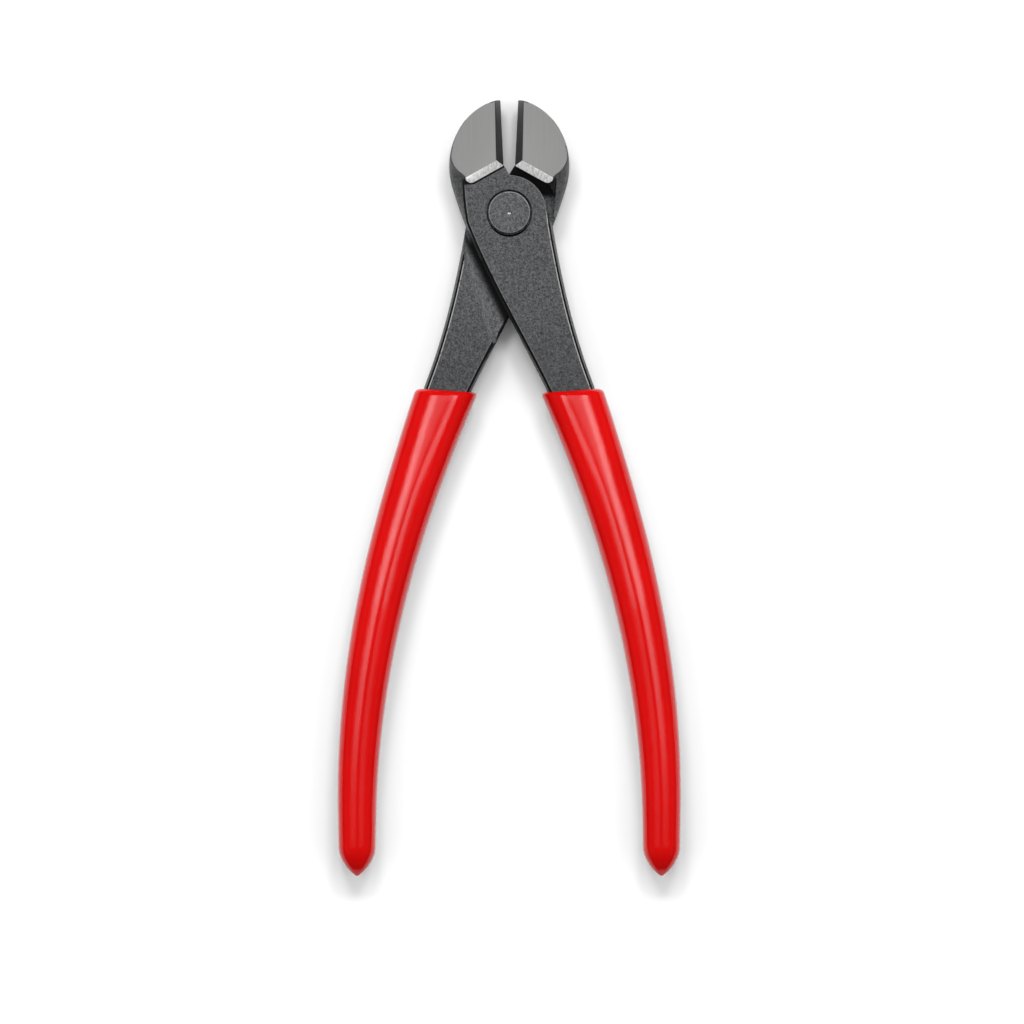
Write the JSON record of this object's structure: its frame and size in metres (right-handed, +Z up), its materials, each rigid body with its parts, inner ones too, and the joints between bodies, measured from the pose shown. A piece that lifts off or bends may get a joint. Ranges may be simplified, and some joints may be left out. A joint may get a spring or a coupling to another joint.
{
  "type": "wire cutter",
  "caption": "Hand wire cutter: crossed forged levers on a rivet, rounded ground jaws with a part-open mouth, and long bowed handles with dipped grips.",
  "frame": {"origin": "middle of the underside of the closed box around the cutter, on the surface it lies on", "axes": "+X to the right, +Y along the tool from the grips to the jaws, +Z up from the surface"},
  "size_m": [0.0886, 0.2, 0.0128],
  "materials": {
    "lever_steel": "black oxide forged steel, with ground grey jaw faces",
    "rivet_steel": "black oxide steel, turned face",
    "grip": "smooth dipped soft vinyl, satin gloss"
  },
  "bodies": {
    "lower_half": {"lower_lever": "lever_steel", "left_grip": "grip", "pivot_rivet": "rivet_steel"},
    "upper_half": {"upper_lever": "lever_steel", "right_grip": "grip"}
  },
  "joints": [
    {"name": "pivot", "type": "hinge", "parent": "lower_half", "child": "upper_half", "pos_m": [0, 0.07108, 0.0064], "axis": [0, 0, 1], "range_deg": [-8.8, 8]}
  ]
}
